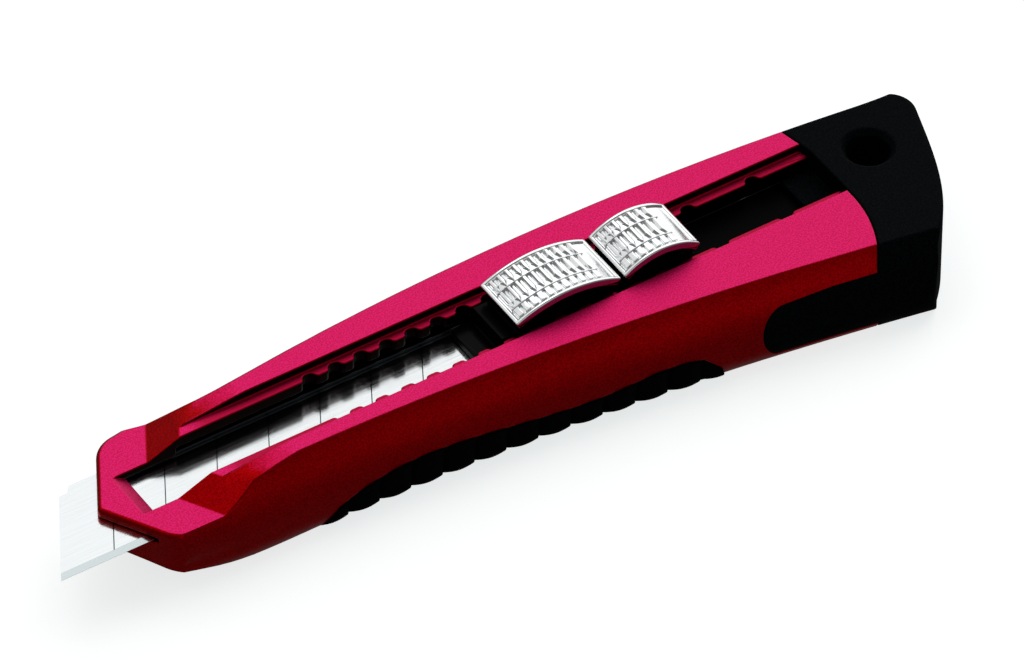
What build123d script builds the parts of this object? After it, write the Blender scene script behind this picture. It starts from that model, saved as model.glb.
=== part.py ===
"""Snap-off utility knife, 18 mm blade: die-cast body, auto-lock slider, rubber grips and end cap.

Frame: +X from the nose to the tail, +Y towards the blade's back, +Z up through the slider.
The knife lies on Z = 0. Inside the script a place along the knife is measured from the blade's
tip, and a place across it from the blade's centre line; level(), station() and side() turn
those into sketch planes.
"""
from build123d import *
import math
import os

# ---------------------------------------------------------------- driving dimensions (mm)
TOTAL_LENGTH = 177.5       # blade tip to tail, blade at its first working stop
AXIS_Y = 4.4               # blade centre line in the model frame

BLADE_LENGTH = 100.0
BLADE_HALF = 9.0
BLADE_THICK = 0.5
BLADE_TOP = 10.4           # upper face of the blade above the rest surface
SEGMENT_PITCH = 10.0
SEGMENT_LEAN = 60.0        # score lines against the cutting edge, degrees
BEVEL_WIDTH = 1.3
SCORE_WIDTH = 0.22
TAIL_HOLE_X = 94.0
TAIL_HOLE_R = 2.5

NOSE_APEX = 12.4           # front point of the body
NOSE_TOP = 12.35
NOSE_UNDER = 4.6
NOSE_HALF = 13.2           # half width of the nose in front of its rounded corners
NOSE_CORNER = 6.0
NOSE_POINT = 1.2
CHEVRON = 30.0             # sweep of the nose and of the ramp, degrees
BODY_FRONT_OUT = 3.6       # how far the sides swell past the crease, at the nose
BODY_OUT = 4.6             # the same along the handle
RAIL_TOP = 16.5            # flat top of the two rails
WIDEST = 5.5               # height of the widest line of the sides

LEDGE_TOP = 14.9           # rack ledges inside the rails
LEDGE_UNDER = 12.7
SLOT_HALF = 4.85           # between the ledges
UPPER_SLOT_HALF = 6.8      # between the rails, above the ledges
CAVITY_HALF = 9.85
NOTCH_PITCH = 5.0
NOTCH_DEPTH = 1.3
NOTCH_HALF = 1.15
NOTCH_ROOT = 0.5           # half width at the bottom of a notch
TOOTH_ROUND = 0.8
FIRST_NOTCH = 56.5
NOTCH_COUNT = 14
REAR_NOTCHES = (131.3, 144.3)

CAP_LINE = 155.5           # where the body stops and the end cap starts
RUN = 0.1                  # clearance between pieces that slide on each other
SPARE_COUNT = 3
STACK_PITCH = 0.6          # one spare blade and its clearance

LOCK_SPLIT = 111.2         # gap between the two slider covers
COVER_HALF = 5.7
COVER_EDGE = 18.1          # height of the cover's edge at its two ends
COVER_CROWN = 2.6          # how much higher the middle of a cover stands

LANYARD_X = 164.4
LANYARD_R = 3.75
BASE_THICK = 1.6
SCREW_R = 1.0
SCREW_HEAD_R = 1.8
BASE_SCREWS = ((124.0, 11.4), (96.0, 11.0), (148.0, -15.0))
SCREW_FIT = 0.05

LIP_TOP = BLADE_TOP + 0.6  # top of the channel's two lips, which the slider runs on
LIP_EDGE = 5.6             # from the centre line to the lips
CHANNEL_IN = 9.15
CHANNEL_OUT = 9.65
CHANNEL = (20.0, 151.0)
MAGAZINE = (49.0, 151.0)
SPARE_TIP = 51.0
GUIDE = (122.0, 151.0)     # plastic strip that closes the channel behind the slider

GRIP_PITCH = 6.0           # one ridge of the rubber grips
GRIP_VALLEY = -0.7         # valleys and crests against the casting's side
GRIP_CREST = 0.45
GRIP_SEAT = 2.0
GRIP_HEIGHT = 6.0
NEAR_GRIP = (46.5, 122.5)
FAR_GRIP = (62.5, 128.5)
TONGUE_FLOOR = 19.2
RAMP_FOOT = 22.0           # where the ramp behind the nose starts, on the centre line
RAMP_SLOPE = 0.467


# ---------------------------------------------------------------- sketch planes
def level(height):
    """Horizontal plane: x from the blade tip, y from the blade's centre line."""
    return Plane(origin=(-TOTAL_LENGTH / 2, AXIS_Y, height))


def station(distance):
    """Plane across the knife at a distance from the tip: x across, y up."""
    origin = (distance - TOTAL_LENGTH / 2, AXIS_Y, 0)
    return Plane(origin=origin, x_dir=(0, 1, 0), z_dir=(1, 0, 0))


def side(across):
    """Upright plane along the knife: x from the tip, y up; it faces the cutting edge."""
    origin = (-TOTAL_LENGTH / 2, AXIS_Y + across, 0)
    return Plane(origin=origin, x_dir=(1, 0, 0), z_dir=(0, -1, 0))


def block(x_range, y_range, z_range, mode=Mode.ADD):
    """A plain block given by its limits, joined to or cut from the part being built."""
    centre = ((x_range[0] + x_range[1]) / 2, (y_range[0] + y_range[1]) / 2)
    with BuildSketch(level(z_range[0])) as base:
        with Locations(centre):
            Rectangle(x_range[1] - x_range[0], y_range[1] - y_range[0])
    extrude(base.sketch, amount=z_range[1] - z_range[0], mode=mode)


def finish(part, name):
    part.label = name
    export_step(part, f"parts/{name}.step")


# ---------------------------------------------------------------- outer shape
def near_crease(x):
    """Crease of the rail on the cutting-edge side; it flares towards the palm."""
    return 9.8 + 0.0019 * max(x - 45.0, 0.0) ** 1.85


def far_crease(x):
    """Crease of the rail on the blade's back side, a long shallow arch."""
    return max(13.6 - 4.1 * ((x - 104.0) / 64.0) ** 2, 9.8)


def swell(x):
    """How far the side stands out past its crease."""
    blend = min(max((x - 12.0) / 33.0, 0.0), 1.0)
    return BODY_FRONT_OUT + (BODY_OUT - BODY_FRONT_OUT) * blend


def envelope(grow=0.0):
    """The full handle before the nose, tail and slot are cut; grow swells its sides."""
    with BuildPart() as hull:
        for x in (6.0, 30.0, 45.0, 60.0, 75.0, 90.0, 105.0, 120.0, 135.0, 150.0, 165.0, 184.0):
            near, far, out = near_crease(x), far_crease(x), swell(x) + grow
            with BuildSketch(station(x)):
                with BuildLine():
                    Line((-near, RAIL_TOP), (far, RAIL_TOP))
                    ThreePointArc((far, RAIL_TOP), (far + 2.85 + grow, 12.4), (far + out, WIDEST))
                    ThreePointArc((far + out, WIDEST), (far + out - 0.6, 1.9), (far + out - 2.5, 0))
                    Line((far + out - 2.5, 0), (-near - out + 2.5, 0))
                    ThreePointArc((-near - out + 2.5, 0), (-near - out + 0.6, 1.9), (-near - out, WIDEST))
                    ThreePointArc((-near - out, WIDEST), (-near - 2.85 - grow, 12.4), (-near, RAIL_TOP))
                make_face()
        loft()
    return hull.part


def body_zone(gap=0.0):
    """Plan region in front of the line where the end cap starts, set back by gap."""
    line = CAP_LINE + gap
    with BuildSketch(level(-1)) as zone:
        with BuildLine():
            Polyline((line, 5), (line - 3.5, 22), (-5, 30), (-5, -40), (line - 9, -34), (line - 4.5, -22.5))
            ThreePointArc((line - 4.5, -22.5), (line - 1.1, -15.4), (line, -7.5))
            Line((line, -7.5), (line, 5))
        make_face()
    return zone.sketch


def handle_outline():
    """Plan outline of the whole handle: rounded chevron nose, slanted and rounded tail."""
    shoulder = NOSE_APEX + NOSE_HALF * math.tan(math.radians(CHEVRON))
    with BuildSketch(level(-1)) as outline:
        with BuildLine():
            Polyline((172.6, 10.3), (150, 19), (120, 30), (60, 30), (34, NOSE_HALF + 2),
                     (shoulder, NOSE_HALF), (NOSE_APEX, 0), (shoulder, -NOSE_HALF),
                     (34, -NOSE_HALF - 2), (60, -40), (152, -28), (157.6, -27))
            ThreePointArc((157.6, -27.0), (160.4, -26.4), (162.0, -24.2))
            Spline((162.0, -24.2), (167.0, -18.6), (172.9, -7.4), (177.0, 4.0))
            ThreePointArc((177.0, 4.0), (176.4, 8.2), (172.6, 10.3))
        make_face()
        fillet(outline.vertices().sort_by(Axis.X)[1:3], radius=NOSE_CORNER)
        fillet(outline.vertices().sort_by(Axis.X)[0], radius=NOSE_POINT)
    return outline.sketch


def ridge_line(crease, sign, start, count, pitch):
    """Shingled outer line of a rubber grip in plan, one arc to a ridge."""
    def out(x, lift):
        return sign * (crease(x) + BODY_OUT + lift)
    for number in range(count):
        low = start + number * pitch
        ThreePointArc((low, out(low, GRIP_VALLEY)), (low + 0.55 * pitch, out(low + 0.55 * pitch, GRIP_CREST)),
                      (low + pitch, out(low + pitch, GRIP_VALLEY)))


def grip_zone(crease, sign, start, end, ridged, gap=0.0):
    """Space of a rubber grip: a band in plan, cut to its outline as seen from the side."""
    count = round((end - start) / GRIP_PITCH)
    last = start + count * GRIP_PITCH
    stations = [last - (last - start) * step / 8 for step in range(9)]
    inner = [(x, sign * (crease(x) + GRIP_SEAT + gap)) for x in stations]
    with BuildPart() as zone:
        with BuildSketch(level(-0.5)):
            with BuildLine():
                if ridged:
                    ridge_line(crease, sign, start, count, GRIP_PITCH)
                    Line((last, sign * (crease(last) + BODY_OUT + GRIP_VALLEY)), inner[0])
                else:
                    Polyline((start, sign * 40), (last, sign * 40), inner[0])
                Polyline(*inner)
                first_out = 40 if not ridged else crease(start) + BODY_OUT + GRIP_VALLEY
                Line(inner[-1], (start, sign * first_out))
            make_face()
        extrude(amount=12)
        with BuildSketch(side(0)):
            with BuildLine():
                Polyline((end - 4.2, GRIP_HEIGHT + 0.6), (end - 1.0, 3.4), (end + 0.4, -1), (start - 1.6, -1))
                Line((start - 1.6, -1), (start + 3.4, 4.6))
                Spline((start + 3.4, 4.6), (start + 7, GRIP_HEIGHT), (end - 20, GRIP_HEIGHT + 0.2),
                       (end - 10, GRIP_HEIGHT + 1.2), (end - 4.2, GRIP_HEIGHT + 0.6))
            make_face()
        extrude(amount=60, both=True, mode=Mode.INTERSECT)
    return zone.part


def tongue_zone(gap=0.0):
    """Recess on the near side that the end cap's tongue slides into, straight along the knife."""
    with BuildPart() as zone:
        with BuildSketch(side(-TONGUE_FLOOR + gap)):
            with BuildLine():
                Polyline((175, 2.6 - gap), (131.9 - gap, 2.6 - gap))
                ThreePointArc((131.9 - gap, 2.6 - gap), (129.3 - gap, 7.0), (133.2 - gap, 11.8 + gap))
                Polyline((133.2 - gap, 11.8 + gap), (142.6, 12.4 + gap), (175, 12.6 + gap), (175, 2.6 - gap))
            make_face()
        extrude(amount=20)
    return zone.part


def chevron_plane(sign):
    """Upright plane square to one half of the ramp's foot line; x runs uphill."""
    lean = math.radians(CHEVRON)
    uphill = (math.cos(lean), -sign * math.sin(lean), 0)
    along_the_foot = (-sign * math.sin(lean), -math.cos(lean), 0)
    return Plane(origin=(RAMP_FOOT - TOTAL_LENGTH / 2, AXIS_Y, 0), x_dir=uphill, z_dir=along_the_foot)


def blade_solid(tip, top):
    """One snap-off blade: bevelled edge, slanted tip, score lines and notched back corners."""
    under = top - BLADE_THICK
    middle = top - BLADE_THICK / 2
    slant = 2 * BLADE_HALF / math.tan(math.radians(SEGMENT_LEAN))
    heel = tip + BLADE_LENGTH
    with BuildPart() as cutter:
        with BuildSketch(station(tip)):
            with BuildLine():
                Polyline((-BLADE_HALF, middle + 0.02), (-BLADE_HALF + BEVEL_WIDTH, top), (BLADE_HALF, top),
                         (BLADE_HALF, under), (-BLADE_HALF + BEVEL_WIDTH, under),
                         (-BLADE_HALF, middle - 0.02), close=True)
            make_face()
        extrude(amount=BLADE_LENGTH)
        with BuildSketch(level(under - 1)):
            with BuildLine():
                Polyline((tip, -BLADE_HALF), (tip + slant, BLADE_HALF), (heel - 1.5, BLADE_HALF),
                         (heel, BLADE_HALF - 1.5), (heel, -BLADE_HALF + 1.5), (heel - 1.5, -BLADE_HALF),
                         close=True)
            make_face()
            with Locations((tip + TAIL_HOLE_X, 0)):
                Circle(TAIL_HOLE_R, mode=Mode.SUBTRACT)
        extrude(amount=3, mode=Mode.INTERSECT)
        for face_height in (top, under):
            with BuildSketch(level(face_height - 0.08)):
                for number in range(1, 8):
                    foot = tip + number * SEGMENT_PITCH
                    with BuildLine():
                        Polyline((foot, -BLADE_HALF), (foot + slant, BLADE_HALF),
                                 (foot + slant + SCORE_WIDTH, BLADE_HALF), (foot + SCORE_WIDTH, -BLADE_HALF),
                                 close=True)
                    make_face()
            extrude(amount=0.16, mode=Mode.SUBTRACT)
        with BuildSketch(level(under - 1)):
            for number in range(0, 8):
                corner = tip + slant + number * SEGMENT_PITCH
                with BuildLine():
                    Polyline((corner - 1.0, BLADE_HALF - 1.4), (corner + 0.8, BLADE_HALF - 1.3),
                             (corner + 1.9, BLADE_HALF + 0.1), (corner - 1.0, BLADE_HALF + 0.1), close=True)
                make_face()
        extrude(amount=3, mode=Mode.SUBTRACT)
    return cutter.part


def notch_outline(place, sign):
    """Edges of one rack notch in plan; its mouth is rounded over to the teeth beside it."""
    edge, root = sign * SLOT_HALF, sign * (SLOT_HALF + NOTCH_DEPTH)
    outside = edge - sign * 0.2
    mouth_half = NOTCH_HALF + TOOTH_ROUND
    with BuildLine() as outline:
        for way in (-1, 1):
            mouth = (place + way * mouth_half, edge)
            over = (place + way * (NOTCH_HALF + 0.293 * TOOTH_ROUND), edge + sign * 0.293 * TOOTH_ROUND)
            wall = (place + way * NOTCH_HALF, edge + sign * TOOTH_ROUND)
            ThreePointArc(mouth, over, wall)
            Line(wall, (place + way * NOTCH_ROOT, root))
            Line(mouth, (mouth[0], outside))
        Line((place - NOTCH_ROOT, root), (place + NOTCH_ROOT, root))
        Line((place - mouth_half, outside), (place + mouth_half, outside))
    return outline.edges()


def leaf(points, width, thick, across=0.0):
    """Leaf spring seen from the side: a strip of even thickness along an arc through three points."""
    with BuildPart() as strip:
        with BuildSketch(side(across)):
            with BuildLine() as bow:
                ThreePointArc(*points)
            trace(bow.line, thick)
        extrude(amount=width / 2, both=True)
    return strip.part


def cover_solid(front, rear):
    """Arched slider cover: bowed top with a raised rim, and skirts with a bowed lower edge."""
    middle = (front + rear) / 2
    crown = COVER_EDGE + COVER_CROWN
    with BuildPart() as shell:
        with BuildSketch(side(0)):
            with BuildLine():
                ThreePointArc((front, COVER_EDGE), (middle, crown), (rear, COVER_EDGE))
                Line((rear, COVER_EDGE), (rear - 0.5, COVER_EDGE - 1.5))
                ThreePointArc((rear - 0.5, COVER_EDGE - 1.5), (middle, crown - 2.1),
                              (front + 0.5, COVER_EDGE - 1.5))
                Line((front + 0.5, COVER_EDGE - 1.5), (front, COVER_EDGE))
            make_face()
        extrude(amount=COVER_HALF, both=True)
        with BuildSketch(side(0)):
            with BuildLine():
                ThreePointArc((front + 0.9, COVER_EDGE - 1.0), (middle, crown - 1.0),
                              (rear - 0.9, COVER_EDGE - 1.0))
                Line((rear - 0.9, COVER_EDGE - 1.0), (rear - 0.9, COVER_EDGE - 4))
                Line((rear - 0.9, COVER_EDGE - 4), (front + 0.9, COVER_EDGE - 4))
                Line((front + 0.9, COVER_EDGE - 4), (front + 0.9, COVER_EDGE - 1.0))
            make_face()
        extrude(amount=COVER_HALF - 0.6, both=True, mode=Mode.SUBTRACT)
        with BuildSketch(side(0)):
            with BuildLine():
                ThreePointArc((front + 1.0, COVER_EDGE - 0.25), (middle, crown - 0.45),
                              (rear - 1.0, COVER_EDGE - 0.25))
                Line((rear - 1.0, COVER_EDGE - 0.25), (rear - 1.0, crown + 2))
                Line((rear - 1.0, crown + 2), (front + 1.0, crown + 2))
                Line((front + 1.0, crown + 2), (front + 1.0, COVER_EDGE - 0.25))
            make_face()
        extrude(amount=COVER_HALF - 0.8, both=True, mode=Mode.SUBTRACT)
    return shell.part


def slider_body(front, rear, stem_front):
    """Block that runs in the slot: flange under the ledges, shoulders over them, bowed top."""
    middle = (front + rear) / 2
    crown = COVER_EDGE + COVER_CROWN
    with BuildPart() as carrier:
        block((stem_front, rear - 0.4), (-4.6, 4.6), (LIP_TOP + RUN, LEDGE_TOP + RUN))
        block((front + 1.2, rear - 0.8), (-7.8, 7.8), (LIP_TOP + RUN, LEDGE_UNDER - RUN))
        with BuildSketch(side(0)):
            with BuildLine():
                Polyline((front + 1.0, COVER_EDGE - 1.2), (front + 1.0, LEDGE_TOP + RUN),
                         (rear - 1.0, LEDGE_TOP + RUN), (rear - 1.0, COVER_EDGE - 1.2))
                ThreePointArc((rear - 1.0, COVER_EDGE - 1.2), (middle, crown - 1.2),
                              (front + 1.0, COVER_EDGE - 1.2))
            make_face()
        extrude(amount=5.0, both=True)
    return carrier.part


# ---------------------------------------------------------------- shared cutting shapes
RACK = [FIRST_NOTCH + NOTCH_PITCH * number for number in range(NOTCH_COUNT)] + list(REAR_NOTCHES)

os.makedirs("parts", exist_ok=True)
HULL = envelope()
GRIP_HULL = envelope(0.6)
OUTLINE = handle_outline()
FRONT_ZONE = body_zone()
CAP_FRONT = body_zone(RUN)
GRIP_RECESS_NEAR = grip_zone(near_crease, -1, *NEAR_GRIP, ridged=False)
GRIP_RECESS_FAR = grip_zone(far_crease, 1, *FAR_GRIP, ridged=False)
TONGUE_RECESS = tongue_zone(RUN)
TONGUE = tongue_zone()

# ---------------------------------------------------------------- body casting
with BuildPart() as body_casting:
    add(HULL)
    extrude(FRONT_ZONE, amount=30, dir=(0, 0, 1), mode=Mode.INTERSECT)
    extrude(OUTLINE, amount=30, dir=(0, 0, 1), mode=Mode.INTERSECT)
    # Underside rises towards the nose.
    with BuildSketch(side(0)):
        with BuildLine():
            Polyline((52, 0), (52, -5), (-5, -5), (-5, NOSE_UNDER + 0.3), (12, NOSE_UNDER + 0.3))
            Spline((12, NOSE_UNDER + 0.3), (20, 4.1), (30, 1.9), (40, 0.6), (52, 0))
        make_face()
    extrude(amount=40, both=True, mode=Mode.SUBTRACT)
    # The rails rise in a shallow bow behind the ramp.
    with BuildSketch(side(0)):
        with BuildLine():
            Polyline((54, RAIL_TOP), (54, 40), (-5, 40), (-5, LEDGE_TOP - 0.25), (30, LEDGE_TOP - 0.1))
            Spline((30, LEDGE_TOP - 0.1), (35, 15.35), (41, 16.1), (54, RAIL_TOP))
        make_face()
    extrude(amount=40, both=True, mode=Mode.SUBTRACT)
    # Ramp down to the flat nose, a chevron in plan.
    for sign in (1, -1):
        with BuildSketch(chevron_plane(sign)):
            with BuildLine():
                Polyline((-40, NOSE_TOP), (0, NOSE_TOP), (11, NOSE_TOP + 11 * RAMP_SLOPE), (11, 40),
                         (-40, 40), close=True)
            make_face()
        extrude(amount=40, both=True, mode=Mode.SUBTRACT)
    nose_edges = body_casting.edges().filter_by_position(Axis.Z, NOSE_TOP - 0.01, NOSE_TOP + 0.01)
    nose_edges = nose_edges.filter_by(GeomType.LINE).filter_by(lambda e: e.length > 9 and e.center().X < -60)
    fillet(nose_edges.sort_by(Axis.X)[:2], radius=0.8)
    # Mouth and tunnel for the blade, then the pocket for its channel.
    block((5, 25), (-9.7, 9.7), (BLADE_TOP - BLADE_THICK - 0.4, BLADE_TOP + 0.2), Mode.SUBTRACT)
    block((19.8, 160), (-CAVITY_HALF, CAVITY_HALF), (7.0, LIP_TOP + RUN), Mode.SUBTRACT)
    # Slot, wider above the ledges, and the room for the slider's flange below them.
    with BuildSketch(side(0)):
        with BuildLine():
            Polyline((18.1, 30), (18.1, NOSE_TOP), (22.1, BLADE_TOP), (160, BLADE_TOP), (160, 30), close=True)
        make_face()
    extrude(amount=SLOT_HALF, both=True, mode=Mode.SUBTRACT)
    block((29, 160), (-UPPER_SLOT_HALF, UPPER_SLOT_HALF), (LEDGE_TOP, 30), Mode.SUBTRACT)
    block((30.5, 160), (-8.2, 8.2), (LIP_TOP, LEDGE_UNDER), Mode.SUBTRACT)
    # Rack notches in both ledges, with rounded teeth between them.
    with BuildSketch(level(LEDGE_UNDER - 0.5)):
        for place in RACK:
            for sign in (1, -1):
                make_face(notch_outline(place, sign))
    extrude(amount=3, mode=Mode.SUBTRACT)
    # Magazine pocket, open at the tail; its floor is the base plate.
    block((MAGAZINE[0], 160), (-CAVITY_HALF, CAVITY_HALF), (BASE_THICK, 7.5), Mode.SUBTRACT)
    # Pocket in the palm swell that keeps the casting light.
    with BuildSketch(level(BASE_THICK - 0.1)):
        with BuildLine():
            Polyline((98, -11.7), (124, -14.6), (141.5, -17.0), (141.5, -11.7), close=True)
        make_face()
    extrude(amount=11, mode=Mode.SUBTRACT)
    # Rebate for the base plate.
    with BuildSketch(level(-1)) as base_outline:
        with BuildLine():
            Polyline((50.5, -10.8), (80, -11.8), (112, -14.4), (151, -19.6), (151, 13.0), (124, 13.6),
                     (84, 12.6), (50.5, 10.8), close=True)
        make_face()
    extrude(amount=1 + BASE_THICK, mode=Mode.SUBTRACT)
    block((46, 51), (-6.1, 6.1), (BASE_THICK, BASE_THICK + 1.1), Mode.SUBTRACT)
    with BuildSketch(level(BASE_THICK)):
        with Locations(*BASE_SCREWS):
            Circle(SCREW_R + SCREW_FIT)
    extrude(amount=6, mode=Mode.SUBTRACT)
    with BuildSketch(level(6)):
        with Locations((32, 0), (42, 0)):
            Circle(SCREW_R + SCREW_FIT)
    extrude(amount=4, mode=Mode.SUBTRACT)
    add(GRIP_RECESS_NEAR, mode=Mode.SUBTRACT)
    add(GRIP_RECESS_FAR, mode=Mode.SUBTRACT)
    add(TONGUE_RECESS, mode=Mode.SUBTRACT)
finish(body_casting.part, "body_casting")

# ---------------------------------------------------------------- base plate and its screws
with BuildPart() as base_plate:
    with BuildSketch(level(0)):
        with BuildLine():
            Polyline((50.6, -10.7), (80, -11.7), (112, -14.3), (150.9, -19.5), (150.9, 12.9), (124, 13.5),
                     (84, 12.5), (50.6, 10.7), close=True)
        make_face()
    extrude(amount=BASE_THICK)
    block((46.3, 56), (-6, 6), (BASE_THICK, BASE_THICK + 1), Mode.ADD)
    for place in BASE_SCREWS:
        with Locations(Location((place[0] - TOTAL_LENGTH / 2, place[1] + AXIS_Y, 0), (180, 0, 0))):
            CounterSinkHole(SCREW_R + SCREW_FIT, SCREW_HEAD_R + SCREW_FIT, depth=BASE_THICK,
                            counter_sink_angle=90)
finish(base_plate.part, "base_plate")


def countersunk_screw(x, y, head_height, up, shank):
    """Countersunk screw with a hexagon socket; up is the way its head faces, +1 or -1."""
    with BuildPart() as screw:
        with BuildSketch(Plane.XZ):
            with BuildLine():
                Polyline((0, 0), (SCREW_HEAD_R, 0), (SCREW_R, SCREW_R - SCREW_HEAD_R), (SCREW_R, -shank),
                         (0, -shank), close=True)
            make_face()
        revolve(axis=Axis.Z)
        with BuildSketch(Plane.XY.offset(-0.7)):
            RegularPolygon(0.85, 6)
        extrude(amount=1, mode=Mode.SUBTRACT)
    tilt = 0 if up > 0 else 180
    return Location((x - TOTAL_LENGTH / 2, y + AXIS_Y, head_height), (tilt, 0, 0)) * screw.part


with BuildPart() as base_screws:
    for place in BASE_SCREWS:
        add(countersunk_screw(place[0], place[1], 0.02, -1, 5.5))
finish(base_screws.part, "base_screws")

# ---------------------------------------------------------------- blade channel and its screws
with BuildPart() as blade_channel:
    for sign in (1, -1):
        edge = sorted((sign * CHANNEL_IN, sign * CHANNEL_OUT))
        block(CHANNEL, edge, (7.25, LIP_TOP))
        lip = sorted((sign * LIP_EDGE, sign * CHANNEL_OUT))
        block((CHANNEL[0] + 0.6, CHANNEL[1]), lip, (BLADE_TOP + RUN, LIP_TOP))
    block((CHANNEL[0], 47), (-CHANNEL_OUT, CHANNEL_OUT), (9.3, 9.8))
    for x in (32, 42):
        with Locations(Location((x - TOTAL_LENGTH / 2, AXIS_Y, 9.8))):
            CounterSinkHole(SCREW_R + SCREW_FIT, 1.45, depth=2, counter_sink_angle=90)
finish(blade_channel.part, "blade_channel")

with BuildPart() as channel_screws:
    for x in (32, 42):
        with BuildSketch(Plane(origin=(x - TOTAL_LENGTH / 2, AXIS_Y, 6.2))):
            Circle(SCREW_R)
        extrude(amount=3.15)
        with BuildSketch(Plane(origin=(x - TOTAL_LENGTH / 2, AXIS_Y, 9.35))):
            Circle(SCREW_R)
        extrude(amount=0.4, taper=-45)
finish(channel_screws.part, "channel_screws")

# Plastic strip between the lips.
with BuildPart() as rear_guide:
    block(GUIDE, (-LIP_EDGE, LIP_EDGE), (BLADE_TOP + RUN, LIP_TOP))
finish(rear_guide.part, "rear_guide")

# ---------------------------------------------------------------- blades and magazine
blade = blade_solid(0, BLADE_TOP)
finish(blade, "blade")
for number in range(1, SPARE_COUNT + 1):
    finish(blade_solid(SPARE_TIP, BLADE_TOP - number * STACK_PITCH), f"spare_blade_{number}")

FOLLOWER_TOP = BLADE_TOP - SPARE_COUNT * STACK_PITCH - STACK_PITCH
with BuildPart() as follower_plate:
    block((53, 147), (-8.9, 8.9), (FOLLOWER_TOP - 0.6, FOLLOWER_TOP))
    block((90, 110), (-3, 3), (FOLLOWER_TOP - 2, FOLLOWER_TOP + 1), Mode.SUBTRACT)
    for x in (56, 144):
        block((x - 1.5, x + 1.5), (-8.9, 8.9), (FOLLOWER_TOP - 1.2, FOLLOWER_TOP - 0.6))
finish(follower_plate.part, "follower_plate")

TRAY_FLOOR = 2.8
with BuildPart() as magazine_tray:
    block((50, 150.5), (-9.75, 9.75), (TRAY_FLOOR - 1, 7.15))
    block((50.8, 160), (-CHANNEL_IN, CHANNEL_IN), (TRAY_FLOOR, 8), Mode.SUBTRACT)
    block((49, 57), (-6.2, 6.2), (TRAY_FLOOR - 2, TRAY_FLOOR - 0.1), Mode.SUBTRACT)
finish(magazine_tray.part, "magazine_tray")

magazine_spring = leaf(((60, TRAY_FLOOR + 0.22), (100, FOLLOWER_TOP - 0.8), (140, TRAY_FLOOR + 0.22)), 8, 0.3)
finish(magazine_spring, "magazine_spring")

# ---------------------------------------------------------------- slider: front half
FRONT_COVER = (90.1, LOCK_SPLIT - 0.3)
with BuildPart() as slider_carrier:
    add(slider_body(FRONT_COVER[0], FRONT_COVER[1], 88.0))
    block((83.7, 88.5), (-4.6, 4.6), (BLADE_TOP + RUN, LIP_TOP + 0.9))
    with BuildSketch(level(BLADE_TOP - 1)):
        with Locations((TAIL_HOLE_X, 0)):
            Circle(1.5 + SCREW_FIT)
    extrude(amount=5, mode=Mode.SUBTRACT)
    with BuildSketch(level(LIP_TOP - 0.5)):
        with Locations((TAIL_HOLE_X, 0)):
            Circle(2.4 + SCREW_FIT)
    extrude(amount=1.2, mode=Mode.SUBTRACT)
    with BuildSketch(level(LIP_TOP - 1)):
        with Locations((101, 0), (107, 0)):
            Circle(0.8 + SCREW_FIT)
    extrude(amount=12, mode=Mode.SUBTRACT)
    with BuildSketch(level(LIP_TOP - 1)):
        with Locations((101, 0), (107, 0)):
            Circle(1.5 + SCREW_FIT)
    extrude(amount=2, mode=Mode.SUBTRACT)
finish(slider_carrier.part, "slider_carrier")

with BuildPart() as blade_pin:
    with BuildSketch(level(BLADE_TOP - BLADE_THICK + 0.05)):
        with Locations((TAIL_HOLE_X, 0)):
            Circle(2.4)
    extrude(amount=1.75)
    with BuildSketch(level(BLADE_TOP + 1)):
        with Locations((TAIL_HOLE_X, 0)):
            Circle(1.5)
    extrude(amount=3)
finish(blade_pin.part, "blade_pin")


def rivets(places, top):
    with BuildPart() as group:
        for x in places:
            with BuildSketch(level(LIP_TOP + 0.2)) as head:
                with Locations((x, 0)):
                    Circle(1.5)
            extrude(head.sketch, amount=0.75)
            with BuildSketch(level(LIP_TOP + 0.5)) as shank:
                with Locations((x, 0)):
                    Circle(0.8)
            extrude(shank.sketch, amount=top - LIP_TOP - 0.5)
    return group.part


front_cover = cover_solid(*FRONT_COVER)
finish(front_cover, "front_cover")
finish(rivets((101, 107), COVER_EDGE + 0.2), "front_rivets")

# ---------------------------------------------------------------- slider: lock half
REAR_COVER = (LOCK_SPLIT + 0.3, 126.7)
LOCK_TOOTH = FIRST_NOTCH + 12 * NOTCH_PITCH
SPRING_LEVEL = 13.0
with BuildPart() as lock_block:
    add(slider_body(REAR_COVER[0], REAR_COVER[1], REAR_COVER[0] + 0.4))
    block((REAR_COVER[0] + 1.4, 125.3), (-6, 6), (SPRING_LEVEL - RUN, LEDGE_TOP - 0.3), Mode.SUBTRACT)
    block((119.3, 121.3), (-2.2, 2.2), (SPRING_LEVEL - 0.5, LEDGE_TOP))
    with BuildSketch(level(LIP_TOP - 1)):
        with Locations((120.3, 0)):
            Circle(0.8 + SCREW_FIT)
    extrude(amount=12, mode=Mode.SUBTRACT)
    with BuildSketch(level(LIP_TOP - 1)):
        with Locations((120.3, 0)):
            Circle(1.5 + SCREW_FIT)
    extrude(amount=2, mode=Mode.SUBTRACT)
finish(lock_block.part, "lock_block")
rear_cover = cover_solid(*REAR_COVER)
finish(rear_cover, "rear_cover")
finish(rivets((120.3,), COVER_EDGE + 0.9), "rear_rivet")

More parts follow.
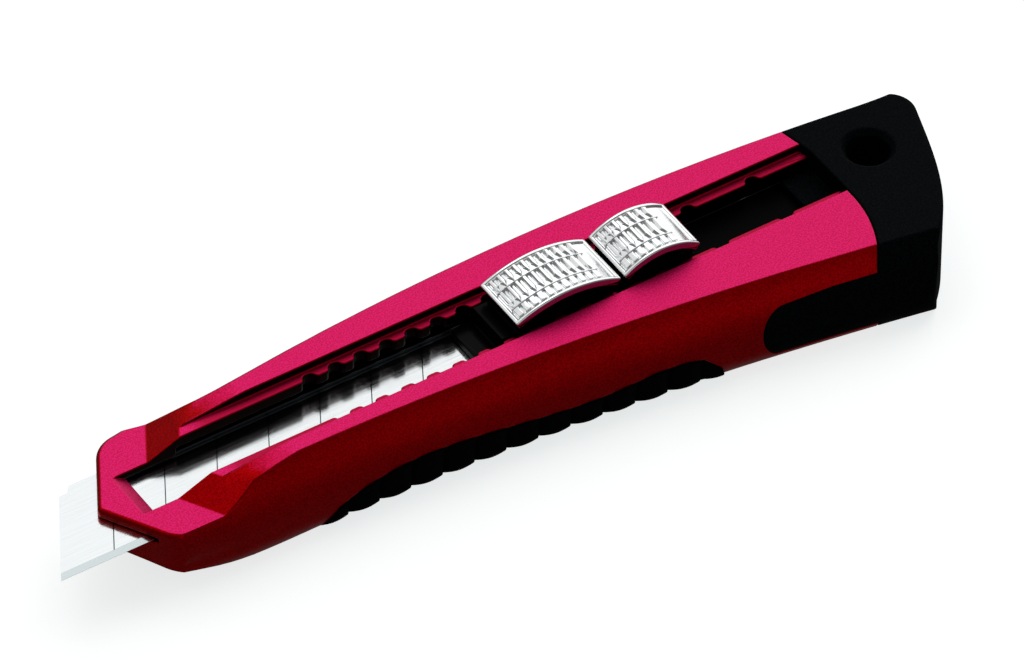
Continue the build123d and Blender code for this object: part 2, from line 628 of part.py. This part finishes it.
with BuildPart() as detent_spring:
    with BuildSketch(level(SPRING_LEVEL)):
        with BuildLine() as hairpin:
            Polyline((LOCK_TOOTH - 3.2, 4.0), (LOCK_TOOTH - 1.0, 4.1), (LOCK_TOOTH, 5.6),
                     (LOCK_TOOTH + 1.0, 4.1), (LOCK_TOOTH + 5.0, 3.4))
            ThreePointArc((LOCK_TOOTH + 5.0, 3.4), (LOCK_TOOTH + 8.2, 0), (LOCK_TOOTH + 5.0, -3.4))
            Polyline((LOCK_TOOTH + 5.0, -3.4), (LOCK_TOOTH + 1.0, -4.1), (LOCK_TOOTH, -5.6),
                     (LOCK_TOOTH - 1.0, -4.1), (LOCK_TOOTH - 3.2, -4.0))
        trace(hairpin.line, 0.4)
    extrude(amount=1.4)
finish(detent_spring.part, "detent_spring")

# ---------------------------------------------------------------- end cap
with BuildPart() as end_cap:
    add(HULL)
    extrude(OUTLINE, amount=30, dir=(0, 0, 1), mode=Mode.INTERSECT)
    extrude(CAP_FRONT, amount=30, dir=(0, 0, 1), mode=Mode.SUBTRACT)
    tail_edges = end_cap.edges().filter_by_position(Axis.Z, RAIL_TOP - 0.01, RAIL_TOP + 0.01)
    tail_edges = tail_edges.sort_by(Axis.X)[-3:]
    fillet(tail_edges, radius=0.9)
    with BuildPart(mode=Mode.PRIVATE) as tongue:
        add(HULL)
        add(TONGUE, mode=Mode.INTERSECT)
        block((120, 158), (-40, 0), (-1, 20), Mode.INTERSECT)
    add(tongue.part)
    block((149.7, 158), (-4.7, 4.7), (LIP_TOP + RUN, LEDGE_UNDER - 0.2))
    block((151.6, 158), (-9.6, 9.6), (5.0, LIP_TOP))
    block((152, 158), (-9.0, 9.0), (1.9, 5.1))
    block((151, 160), (-3.2, 3.2), (4.0, 6.4), Mode.SUBTRACT)
    with Locations(Location((LANYARD_X - TOTAL_LENGTH / 2, AXIS_Y, RAIL_TOP))):
        CounterSinkHole(LANYARD_R, LANYARD_R + 1.0, depth=30, counter_sink_angle=90)
    with Locations(Location((LANYARD_X - TOTAL_LENGTH / 2, AXIS_Y, 0), (180, 0, 0))):
        CounterSinkHole(LANYARD_R, LANYARD_R + 1.0, depth=30, counter_sink_angle=90)
finish(end_cap.part, "end_cap")

with BuildPart() as cap_clip:
    block((151.2, 159.6), (-3, 3), (4.6, 5.0))
    block((151.2, 151.6), (-3, 3), (4.2, 5.0))
finish(cap_clip.part, "cap_clip")

# ---------------------------------------------------------------- rubber grips
GRIPS = (("near_grip", near_crease, -1, NEAR_GRIP), ("far_grip", far_crease, 1, FAR_GRIP))
for name, crease, sign, span in GRIPS:
    with BuildPart() as grip:
        add(GRIP_HULL)
        add(grip_zone(crease, sign, *span, ridged=True, gap=0.05), mode=Mode.INTERSECT)
    finish(grip.part, name)
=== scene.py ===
"""Snap-off utility knife: rounded castings, ridged grips, patterned slider covers, materials and studio."""
import math

import bpy
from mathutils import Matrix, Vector


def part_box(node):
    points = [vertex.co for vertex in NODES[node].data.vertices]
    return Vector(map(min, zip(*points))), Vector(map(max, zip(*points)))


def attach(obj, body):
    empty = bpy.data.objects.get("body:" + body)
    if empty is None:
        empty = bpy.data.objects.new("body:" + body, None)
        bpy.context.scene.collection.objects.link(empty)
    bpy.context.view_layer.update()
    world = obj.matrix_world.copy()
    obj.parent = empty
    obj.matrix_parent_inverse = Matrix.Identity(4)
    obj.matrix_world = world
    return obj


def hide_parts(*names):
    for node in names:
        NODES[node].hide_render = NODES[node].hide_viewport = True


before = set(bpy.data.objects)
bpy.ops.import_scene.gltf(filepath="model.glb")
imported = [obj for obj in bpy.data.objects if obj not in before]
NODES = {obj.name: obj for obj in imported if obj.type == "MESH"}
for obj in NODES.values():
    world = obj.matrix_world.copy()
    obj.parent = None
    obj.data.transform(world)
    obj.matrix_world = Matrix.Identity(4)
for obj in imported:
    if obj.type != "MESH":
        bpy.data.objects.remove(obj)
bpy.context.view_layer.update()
MM = 0.001
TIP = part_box("blade")[0][0]
BLADE_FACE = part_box("blade")[1][2]
AXIS_Y = sum(corner[1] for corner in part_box("blade")) / 2        # centre line of the blade and its slot
BEVEL_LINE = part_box("blade")[0][1] + 1.3 * MM                    # where the ground bevel ends on the flat
SLOT_FRONT = TIP + 18.6 * MM                                     # where the slot starts behind the nose
LEDGE_FRONT = TIP + 33.5 * MM                                    # where the rack ledges start
LEDGE_TOP = 14.9 * MM                                            # rack ledges on both sides of the slot
SLOT_SIDE = 7.2 * MM                                             # centre line to the rails' inner faces
# Painted light: faces turned towards this axis get magenta painted into the lacquer for the light they catch.
PAINTED_LIGHT_AXIS = (0.3, 0.0, 0.954)                                    # the lacquer looks magenta towards this side

# ------------------------------------------------------------------ camera
# Long lens on the nose's near side, well above the knife.
AZIMUTH, ELEVATION = -32.9, 43.8
AIM = Vector((4.53, 4.99, 10.4)) * MM
DISTANCE = 1.7


def direction(azimuth, elevation):
    """Unit vector towards a place round the knife; azimuth 0 is the near side, 90 the tail."""
    a, e = math.radians(azimuth), math.radians(elevation)
    return Vector((math.sin(a) * math.cos(e), -math.cos(a) * math.cos(e), math.sin(e)))


def aimed(thing, azimuth, elevation, distance, aim):
    """Place a camera or lamp out along a direction, looking back at its aim."""
    towards = direction(azimuth, elevation)
    thing.location = aim + towards * distance
    thing.rotation_mode = "QUATERNION"
    thing.rotation_quaternion = towards.to_track_quat("Z", "Y")
    bpy.context.scene.collection.objects.link(thing)


camera = bpy.data.objects.new("camera", bpy.data.cameras.new("camera"))
camera.data.lens = 359.4
camera.data.sensor_width = 36.0
camera.data.clip_end = 20
aimed(camera, AZIMUTH, ELEVATION, DISTANCE, AIM)
bpy.context.scene.camera = camera


# ------------------------------------------------------------------ materials
def linear(hexcode):
    """sRGB hex to linear RGBA."""
    values = [int(hexcode[i:i + 2], 16) / 255 for i in (1, 3, 5)]
    return [v / 12.92 if v <= 0.04045 else ((v + 0.055) / 1.055) ** 2.4 for v in values] + [1.0]


def add_node(tree, kind, settings=None, values=None, links=None):
    """Add a node with its settings, its input values and the sockets that feed it."""
    made = tree.nodes.new(kind)
    for name, value in (settings or {}).items():
        setattr(made, name, value)
    for name, value in (values or {}).items():
        made.inputs[name].default_value = value
    for name, source in (links or {}).items():
        tree.links.new(source, made.inputs[name])
    return made


def new_material(name, **values):
    """A material whose shader has the given constant values; returns it, its tree and its shader."""
    material = bpy.data.materials.new(name)
    material.use_nodes = True
    shader = material.node_tree.nodes["Principled BSDF"]
    for socket, value in values.items():
        shader.inputs[socket.replace("_", " ")].default_value = value
    return material, material.node_tree, shader


def grain(tree, size_mm, stretch=(1, 1, 1), detail=2.0):
    """Noise with a real grain size on Object coordinates; returns its factor socket."""
    place = add_node(tree, "ShaderNodeTexCoord")
    scaled = add_node(tree, "ShaderNodeMapping", values={"Scale": stretch},
                      links={"Vector": place.outputs["Object"]})
    noise = add_node(tree, "ShaderNodeTexNoise", values={"Scale": 1 / (size_mm * MM), "Detail": detail},
                     links={"Vector": scaled.outputs["Vector"]})
    return noise.outputs["Fac"]


def between(tree, factor, low, high, out_low, out_high):
    """Map a factor from one range to another, clamped."""
    ramp = add_node(tree, "ShaderNodeMapRange", links={"Value": factor},
                    values={"From Min": low, "From Max": high, "To Min": out_low, "To Max": out_high})
    return ramp.outputs["Result"]


def mixed(tree, factor, first, second):
    """Mix two colours, each a hex value or a socket."""
    blend = add_node(tree, "ShaderNodeMix", {"data_type": "RGBA"}, links={"Factor": factor})
    for socket, colour in ((blend.inputs[6], first), (blend.inputs[7], second)):
        if isinstance(colour, str):
            socket.default_value = linear(colour)
        else:
            tree.links.new(colour, socket)
    return blend.outputs[2]


def bump(tree, shader, height, depth_mm, strength=1.0):
    """Raise the surface by a height factor."""
    relief = add_node(tree, "ShaderNodeBump", values={"Distance": depth_mm * MM, "Strength": strength},
                      links={"Height": height})
    tree.links.new(relief.outputs["Normal"], shader.inputs["Normal"])


def red_lacquer():
    """Metallic lacquer on die-cast zinc: fine bright flakes, a painted magenta highlight where it faces up to
    the light, pure deep red on slopes and sides, painted shade on the rack ledges, and painted near-black
    shade on the walls down inside the slot.
    Real flakes are about a tenth of this size; they are drawn coarser so that they show."""
    material, tree, shader = new_material("red_metallic_lacquer", Metallic=1.0, Roughness=0.4)
    surface = add_node(tree, "ShaderNodeTexCoord")
    normal = add_node(tree, "ShaderNodeSeparateXYZ", links={"Vector": surface.outputs["Normal"]})
    place = add_node(tree, "ShaderNodeSeparateXYZ", links={"Vector": surface.outputs["Object"]})
    towards = add_node(tree, "ShaderNodeVectorMath", {"operation": "DOT_PRODUCT"},
                       links={0: surface.outputs["Normal"]})
    towards.inputs[1].default_value = PAINTED_LIGHT_AXIS
    # Painted light: the magenta on faces turned up towards this axis stands for the light they catch from
    # above.
    painted_light = between(tree, towards.outputs["Value"], 0.86, 0.95, 0.0, 1.0)
    flakes = between(tree, grain(tree, 0.28, detail=1.0), 0.36, 0.64, 0.0, 1.0)
    body = mixed(tree, painted_light, "#B80207", "#DB1E6A")
    darker = mixed(tree, painted_light, "#900105", "#BC124A")
    lacquer = mixed(tree, flakes, darker, body)
    # Painted shade: upright faces inside the slot, behind the nose, are painted near black for the shade that
    # falls down there.
    upright = between(tree, normal.outputs["Z"], 0.25, 0.5, 1.0, 0.0)
    offset = add_node(tree, "ShaderNodeMath", {"operation": "SUBTRACT"}, links={0: place.outputs["Y"]})
    offset.inputs[1].default_value = AXIS_Y
    across = add_node(tree, "ShaderNodeMath", {"operation": "ABSOLUTE"}, links={0: offset.outputs[0]})
    inside = between(tree, across.outputs[0], SLOT_SIDE, SLOT_SIDE + 0.4 * MM, 1.0, 0.0)
    behind_nose = between(tree, place.outputs["X"], SLOT_FRONT, SLOT_FRONT + 0.5 * MM, 0.0, 1.0)
    walls = add_node(tree, "ShaderNodeMath", {"operation": "MULTIPLY"}, links={0: upright, 1: inside})
    painted_wall_shade = add_node(tree, "ShaderNodeMath", {"operation": "MULTIPLY"},
                    links={0: walls.outputs[0], 1: behind_nose})
    # Painted shade: the rack ledges below the rail tops get a duller red for the shade that falls on them.
    sunk_shade = between(tree, place.outputs["Z"], LEDGE_TOP + 0.2 * MM, LEDGE_TOP + 0.6 * MM, 0.75, 0.0)
    shaded = add_node(tree, "ShaderNodeMath", {"operation": "MULTIPLY"}, links={0: sunk_shade, 1: inside})
    behind_ramp = between(tree, place.outputs["X"], LEDGE_FRONT, LEDGE_FRONT + 3 * MM, 0.0, 1.0)
    painted_ledge_shade = add_node(tree, "ShaderNodeMath", {"operation": "MULTIPLY"},
                     links={0: shaded.outputs[0], 1: behind_ramp})
    lacquer = mixed(tree, painted_ledge_shade.outputs[0], lacquer, "#A00828")
    tree.links.new(mixed(tree, painted_wall_shade.outputs[0], lacquer, "#1E0204"), shader.inputs["Base Color"])
    bump(tree, shader, grain(tree, 0.25), 0.008, 0.4)
    return material


def textured_black(name, light, dark, grit_mm, depth_mm, rough):
    """Moulded plastic or rubber from a spark-eroded mould: a near-black skin that sparkles faintly with
    grit. The grit is drawn coarser than the real one so that it shows."""
    material, tree, shader = new_material(name, Roughness=rough, Specular_IOR_Level=0.025)
    grit = grain(tree, grit_mm)
    speckle = between(tree, grit, 0.42, 0.66, 0.0, 1.0)
    tree.links.new(mixed(tree, speckle, dark, light), shader.inputs["Base Color"])
    bump(tree, shader, grit, depth_mm, 0.8)
    return material


def gloss_black():
    """Polished acetal: deep black that faintly mirrors the red beside it, with hair scratches."""
    material, tree, shader = new_material("gloss_black_acetal", Roughness=0.2, Specular_IOR_Level=0.035)
    scratches = grain(tree, 0.5, stretch=(1, 0.06, 1))
    tree.links.new(mixed(tree, between(tree, scratches, 0.62, 0.72, 0.0, 1.0), "#040404", "#0E0E10"),
                   shader.inputs["Base Color"])
    bump(tree, shader, scratches, 0.01, 0.3)
    return material


def plated(name, colour, shade, rough, streak_mm, stretch, depth_mm=0.002):
    """Metal whose surface carries fine streaks: rolled, ground or plated."""
    material, tree, shader = new_material(name, Metallic=1.0)
    streaks = grain(tree, streak_mm, stretch=stretch)
    tree.links.new(mixed(tree, streaks, colour, shade), shader.inputs["Base Color"])
    tree.links.new(between(tree, streaks, 0.3, 0.7, rough * 0.8, rough * 1.25), shader.inputs["Roughness"])
    bump(tree, shader, streaks, depth_mm, 0.4)
    return material


def blade_steel():
    """Carbon tool steel, strip-ground along its length: nearly white, with a greyer ground bevel and painted
    shade in the score lines where the segments snap off."""
    material, tree, shader = new_material("ground_blade_steel", Metallic=1.0)
    surface = add_node(tree, "ShaderNodeTexCoord")
    place = add_node(tree, "ShaderNodeSeparateXYZ", links={"Vector": surface.outputs["Object"]})
    bevel = between(tree, place.outputs["Y"], BEVEL_LINE, BEVEL_LINE + 0.1 * MM, 1.0, 0.0)
    streaks = grain(tree, 0.35, stretch=(0.04, 1, 1))
    flat = mixed(tree, streaks, "#E9ECED", "#DADFE1")
    ground = mixed(tree, bevel, flat, "#C3CCCD")
    flat_only = between(tree, bevel, 0.0, 1.0, 1.0, 0.0)
    # Painted shade: faces sunk below the blade's face, in the score lines, are painted dark for the shade in
    # their grooves.
    sunk_shade = between(tree, place.outputs["Z"], BLADE_FACE - 0.06 * MM, BLADE_FACE - 0.03 * MM, 1.0, 0.0)
    score_shade = add_node(tree, "ShaderNodeMath", {"operation": "MULTIPLY"}, links={0: sunk_shade, 1: flat_only})
    tree.links.new(mixed(tree, score_shade.outputs[0], ground, "#4C5658"), shader.inputs["Base Color"])
    tree.links.new(between(tree, streaks, 0.3, 0.7, 0.12, 0.2), shader.inputs["Roughness"])
    bump(tree, shader, streaks, 0.0008, 0.4)
    return material


RED = red_lacquer()
CAP = textured_black("black_nylon", "#070C10", "#000102", 0.35, 0.05, 0.62)
RUBBER = textured_black("black_rubber", "#060607", "#020202", 0.5, 0.03, 0.75)
TRAY = textured_black("black_abs", "#030303", "#010101", 0.4, 0.02, 0.5)
GLOSS = gloss_black()
BLADE = blade_steel()
# Bright chrome: almost a mirror, a little soft from the casting below it.
CHROME = plated("bright_chrome", "#FAFBFB", "#EEF1F2", 0.16, 0.6, (1, 1, 1))
# Strip-ground blade steel without the score lines' shade.
SPARE = plated("strip_steel", "#E9ECED", "#DADFE1", 0.16, 0.35, (0.04, 1, 1), 0.0008)
# Rolled stainless strip, coloured dark as a painted reflection of the dark rails above it: drawn lines along
# it, and thin glints on its folds.
CHANNEL = plated("rolled_stainless", "#4A5054", "#3B4145", 0.1, 0.4, (0.03, 1, 1))
# Tempered and blued: dark, with a satin shine.
SPRING = plated("blued_spring_steel", "#3D4046", "#2B2D33", 0.3, 0.4, (0.1, 1, 1))
# Zinc plate on screws and pins: pale grey and softly bright.
ZINC = plated("zinc_plate", "#B9BCC0", "#9DA2A8", 0.3, 0.3, (1, 1, 1))


# ------------------------------------------------------------------ modelling helpers
MERGE_MM = 0.03                         # seams of a CAD mesh closer than this are one
FLAT_ANGLE = math.radians(0.6)
SMOOTH_ANGLE = math.radians(23)
EDGE_ANGLE = math.radians(20)           # sharper edges than this are rounded over
# Rubber grips, in millimetres.
RIDGE_PITCH, RIDGE_DEPTH = 6.0, 1.2
RIDGE_STEP = 0.75                       # spacing of the cuts that let the edge follow the ridges
RIDGE_FADE = 3.2                        # height over which the lobes fade into the ridges above
NEAR_RIDGES = (46.5, 118.5)             # where the ridges start and end, from the blade tip
FAR_RIDGES = (62.5, 128.5)


def select_only(thing):
    """Deselect everything else."""
    bpy.ops.object.select_all(action="DESELECT")
    thing.select_set(True)
    bpy.context.view_layer.objects.active = thing


def apply_modifier(thing, kind, **settings):
    """Add a modifier and apply it at once."""
    select_only(thing)
    modifier = thing.modifiers.new(kind.lower(), kind)
    for name, value in settings.items():
        setattr(modifier, name, value)
    bpy.ops.object.modifier_apply(modifier=modifier.name)


def finish_piece(piece, material, body, node):
    """Give a piece its material, its body and its finish, and hide the CAD piece it stands for."""
    select_only(piece)
    bpy.ops.object.shade_smooth_by_angle(angle=SMOOTH_ANGLE)
    piece.data.materials.clear()
    piece.data.materials.append(material)
    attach(piece, body)
    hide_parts(node)


def copied(node, name):
    """Copy of a CAD piece, its seams merged and its flat faces made whole."""
    piece = bpy.data.objects.new(name, NODES[node].data.copy())
    bpy.context.scene.collection.objects.link(piece)
    select_only(piece)
    bpy.ops.object.mode_set(mode="EDIT")
    bpy.ops.mesh.select_all(action="SELECT")
    bpy.ops.mesh.remove_doubles(threshold=MERGE_MM * MM)
    bpy.ops.mesh.dissolve_limited(angle_limit=FLAT_ANGLE)
    bpy.ops.object.mode_set(mode="OBJECT")
    return piece


def scalloped(piece, sign, start_mm, end_mm):
    """Carry the ridges of a rubber grip down to its lower edge, one shallow lobe to a ridge."""
    select_only(piece)
    bpy.ops.object.mode_set(mode="EDIT")
    for cut in range(1, round((end_mm - start_mm) / RIDGE_STEP)):
        bpy.ops.mesh.select_all(action="SELECT")
        place = TIP + (start_mm + cut * RIDGE_STEP) * MM
        bpy.ops.mesh.bisect(plane_co=(place, 0, 0), plane_no=(1, 0, 0))
    bpy.ops.object.mode_set(mode="OBJECT")
    outer = [point for point in piece.data.vertices if sign * point.normal.y > 0.2]
    for point in outer:
        along = ((point.co.x - TIP) / MM - start_mm) / RIDGE_PITCH % 1.0
        low = max(0.0, 1.0 - point.co.z / (RIDGE_FADE * MM))
        point.co.y -= sign * RIDGE_DEPTH * MM * low * (2 * along - 1) ** 2
    return piece


def rounded(piece, node, width_mm, material, body, clamped=False):
    """Round over the sharp edges of a copied CAD piece and let it stand for that piece."""
    apply_modifier(piece, "BEVEL", width=width_mm * MM, segments=4, limit_method="ANGLE",
                   angle_limit=EDGE_ANGLE, use_clamp_overlap=clamped, loop_slide=False,
                   miter_outer="MITER_ARC")
    finish_piece(piece, material, body, node)
    apply_modifier(piece, "WEIGHTED_NORMAL", keep_sharp=True, weight=60)


# CAD piece, its finished name, edge width in millimetres, material, body, material slot.
PIECES = (("body_casting", "casting_lacquered", 0.25, RED, "body", "red_casting"),
          ("end_cap", "end_cap_moulded", 0.3, CAP, "cap", "black_plastic"),
          ("slider_carrier", "slider_carrier_moulded", 0.2, GLOSS, "slider", "gloss_black_plastic"),
          ("blade_channel", "blade_channel_folded", 0.18, CHANNEL, "body", "stainless"),
          ("lock_block", "lock_block_moulded", 0.2, GLOSS, "lock", "gloss_black_plastic"))
for node, name, width, material, body, slot in PIECES:
    rounded(copied(node, name), node, width, material, body)

near_grip = scalloped(copied("near_grip", "near_grip_rubber"), -1, *NEAR_RIDGES)
rounded(near_grip, "near_grip", 0.2, RUBBER, "body", clamped=True)
far_grip = scalloped(copied("far_grip", "far_grip_rubber"), 1, *FAR_RIDGES)
rounded(far_grip, "far_grip", 0.2, RUBBER, "body", clamped=True)


# ------------------------------------------------------------------ slider covers
# Millimetres, flat before the cover is bowed; across is measured from the centre line.
COVER_HALF = 5.7
COVER_RISE = 2.6            # how much higher the middle of a cover stands than its ends
SHELL = 1.5
HOLLOW_WALL, HOLLOW_DEPTH = 0.75, 0.7
RIM = 0.7
FIELD = 0.48                # how deep the field lies below the rim
RIB_PITCH = 1.6
RIB_WIDTH = 1.45
RIB_POINT = 1.35            # length of a rib's pointed end
RIB_GAP = 0.35              # from the rim to the first rib
RIB_CREST, BLOCK_CREST = 0.34, 0.7      # share of the width left at the top of a rib and of a block
LINE_HALF = 0.09
SUNK = 0.05                 # how far ribs and lines are let into the field
BOW_STEPS = 32
ROWS = ((4.9, 2.1, True), (1.75, -2.35, True), (-2.75, -4.75, False))   # far end, near end, pointed
LINES = (1.92, -2.55)


def box(name, x_mm, y_mm, z_mm):
    """Cube primitive brought to its limits, in millimetres, and left selected on its own."""
    bpy.ops.object.select_all(action="DESELECT")
    centre = [sum(limits) / 2 * MM for limits in (x_mm, y_mm, z_mm)]
    bpy.ops.mesh.primitive_cube_add(size=1, location=centre)
    made = bpy.context.object
    made.name = name
    made.scale = [abs(limits[1] - limits[0]) * MM for limits in (x_mm, y_mm, z_mm)]
    bpy.ops.object.transform_apply(location=True, rotation=False, scale=True)
    return made


def pick(thing, test, faces=True):
    """Select the faces or points that pass a test, in edit mode; nothing else stays selected."""
    select_only(thing)
    bpy.ops.object.mode_set(mode="EDIT")
    bpy.ops.mesh.select_mode(type="FACE" if faces else "VERT")
    bpy.ops.mesh.select_all(action="DESELECT")
    bpy.ops.object.mode_set(mode="OBJECT")
    for item in thing.data.polygons if faces else thing.data.vertices:
        item.select = test(item)
    bpy.ops.object.mode_set(mode="EDIT")


def rib(start_mm, far, near, pointed):
    """One cast rib of the thumb grip: a ridge like a pencil lying across the cover, or a short block."""
    made = box("rib", (start_mm, start_mm + RIB_WIDTH), (near, far), (-FIELD - SUNK, -0.02))
    if pointed:
        neck = (near + RIB_POINT) * MM
        pick(made, lambda v: True, faces=False)
        bpy.ops.mesh.bisect(plane_co=(0, neck, 0), plane_no=(0, 1, 0))
        bpy.ops.object.mode_set(mode="OBJECT")
    pick(made, lambda v: v.co.z > -0.1 * MM, faces=False)
    bpy.ops.transform.resize(value=(RIB_CREST if pointed else BLOCK_CREST, 0.96, 1))
    bpy.ops.object.mode_set(mode="OBJECT")
    if pointed:
        pick(made, lambda v: v.co.y < (near + 0.3) * MM, faces=False)
        bpy.ops.transform.resize(value=(0.08, 1, 1))
        bpy.ops.object.mode_set(mode="OBJECT")
    apply_modifier(made, "BEVEL", width=0.1 * MM, segments=3, limit_method="ANGLE", angle_limit=EDGE_ANGLE)
    return made


def cover(name, node, body, rib_count):
    """Bowed chrome cover: raised rim, recessed field, three rows of ribs between two thin lines."""
    low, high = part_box(node)
    chord = (high[0] - low[0]) / MM
    radius = (chord * chord / 4 + COVER_RISE * COVER_RISE) / (2 * COVER_RISE)
    half_angle = math.asin(chord / 2 / radius)
    half = radius * half_angle
    base = box(name, (-half, half), (-COVER_HALF, COVER_HALF), (-SHELL, 0))
    pick(base, lambda f: f.normal.z > 0.9)
    bpy.ops.mesh.inset(thickness=RIM * MM)
    bpy.ops.mesh.extrude_region_move(TRANSFORM_OT_translate={"value": (0, 0, -FIELD * MM)})
    bpy.ops.transform.resize(value=(0.99, 0.975, 1))
    bpy.ops.object.mode_set(mode="OBJECT")
    pick(base, lambda f: f.normal.z < -0.9)
    bpy.ops.mesh.inset(thickness=HOLLOW_WALL * MM)
    bpy.ops.mesh.extrude_region_move(TRANSFORM_OT_translate={"value": (0, 0, HOLLOW_DEPTH * MM)})
    bpy.ops.object.mode_set(mode="OBJECT")
    apply_modifier(base, "BEVEL", width=0.26 * MM, segments=4, limit_method="ANGLE",
                   angle_limit=math.radians(30))
    parts = [base]
    first = -half + RIM + RIB_GAP
    last = first + rib_count * RIB_PITCH
    for across in LINES:
        line = box("line", (first, last), (across - LINE_HALF, across + LINE_HALF), (-FIELD - SUNK, -0.05))
        apply_modifier(line, "BEVEL", width=0.05 * MM, segments=2)
        parts.append(line)
    for far, near, pointed in ROWS:
        pattern = rib(first, far, near, pointed)
        parts.append(pattern)
        for number in range(1, rib_count):
            copy = pattern.copy()
            copy.data = pattern.data.copy()
            bpy.context.scene.collection.objects.link(copy)
            for point in copy.data.vertices:
                point.co.x += number * RIB_PITCH * MM
            parts.append(copy)
    bpy.ops.object.select_all(action="DESELECT")
    for part in parts:
        part.select_set(True)
    bpy.context.view_layer.objects.active = base
    bpy.ops.object.join()
    select_only(base)
    bpy.ops.object.mode_set(mode="EDIT")
    for step in range(1, BOW_STEPS):
        bpy.ops.mesh.select_all(action="SELECT")
        place = (-half + 2 * half * step / BOW_STEPS) * MM
        bpy.ops.mesh.bisect(plane_co=(place, 0, 0), plane_no=(1, 0, 0))
    bpy.ops.object.mode_set(mode="OBJECT")
    middle = Vector(((low[0] + high[0]) / 2, (low[1] + high[1]) / 2, high[2] - radius * MM))
    for point in base.data.vertices:
        turn = point.co.x / (radius * MM)
        reach = radius * MM + point.co.z
        point.co = middle + Vector((reach * math.sin(turn), point.co.y, reach * math.cos(turn)))
    finish_piece(base, CHROME, body, node)


cover("front_cover_chromed", "front_cover", "slider", 11)
cover("rear_cover_chromed", "rear_cover", "lock", 7)

# ------------------------------------------------------------------ CAD pieces that stay as they are
KEPT = ((RED, ("base_plate",)),
        (BLADE, ("blade",)),
        (SPARE, ("spare_blade_1", "spare_blade_2", "spare_blade_3")),
        (TRAY, ("magazine_tray", "rear_guide")),
        (SPRING, ("magazine_spring", "detent_spring", "cap_clip")),
        (ZINC, ("base_screws", "channel_screws", "follower_plate", "blade_pin", "front_rivets",
                "rear_rivet")))
for material, names in KEPT:
    for name in names:
        NODES[name].data.materials.clear()
        NODES[name].data.materials.append(material)

# ------------------------------------------------------------------ floor and light
bpy.ops.object.select_all(action="DESELECT")
bpy.ops.mesh.primitive_plane_add(size=6, location=(0, 0, -0.0002))
floor = bpy.context.object
floor.name = "floor"
# A light table: the sheet glows, so the shadows stay pale and none of its light climbs the sides.
paper, _, paper_shader = new_material("light_table", Roughness=1.0, Specular_IOR_Level=0.0)
paper_shader.inputs["Base Color"].default_value = linear("#C8C8C8")
paper_shader.inputs["Emission Color"].default_value = linear("#F6F9F9")
paper_shader.inputs["Emission Strength"].default_value = 0.8
floor.data.materials.append(paper)
floor.visible_glossy = False
floor.visible_diffuse = False


def softbox(name, azimuth, elevation, distance, size, radiance):
    """Rectangular softbox that looks evenly bright from the knife."""
    lamp = bpy.data.lights.new(name, "AREA")
    lamp.shape = "RECTANGLE"
    lamp.size, lamp.size_y = size
    lamp.energy = radiance * math.pi * size[0] * size[1]
    aimed(bpy.data.objects.new(name, lamp), azimuth, elevation, distance, Vector((0, 0, 0)))


world = bpy.data.worlds.new("studio")
bpy.context.scene.world = world
world.use_nodes = True
world.node_tree.nodes["Background"].inputs["Color"].default_value = (1, 1, 1, 1)
world.node_tree.nodes["Background"].inputs["Strength"].default_value = 0.155
# The main softbox stands past the tail on the far side, with a high fill behind the nose and a low one
# on the near side.
softbox("back_softbox", 128, 38, 1.2, (1.8, 1.7), 1.0)
softbox("top_fill", 213, 54, 1.2, (1.3, 1.2), 0.62)
softbox("near_fill", -4, 18, 1.2, (0.9, 0.6), 0.5)
bpy.context.scene.view_settings.view_transform = "Standard"
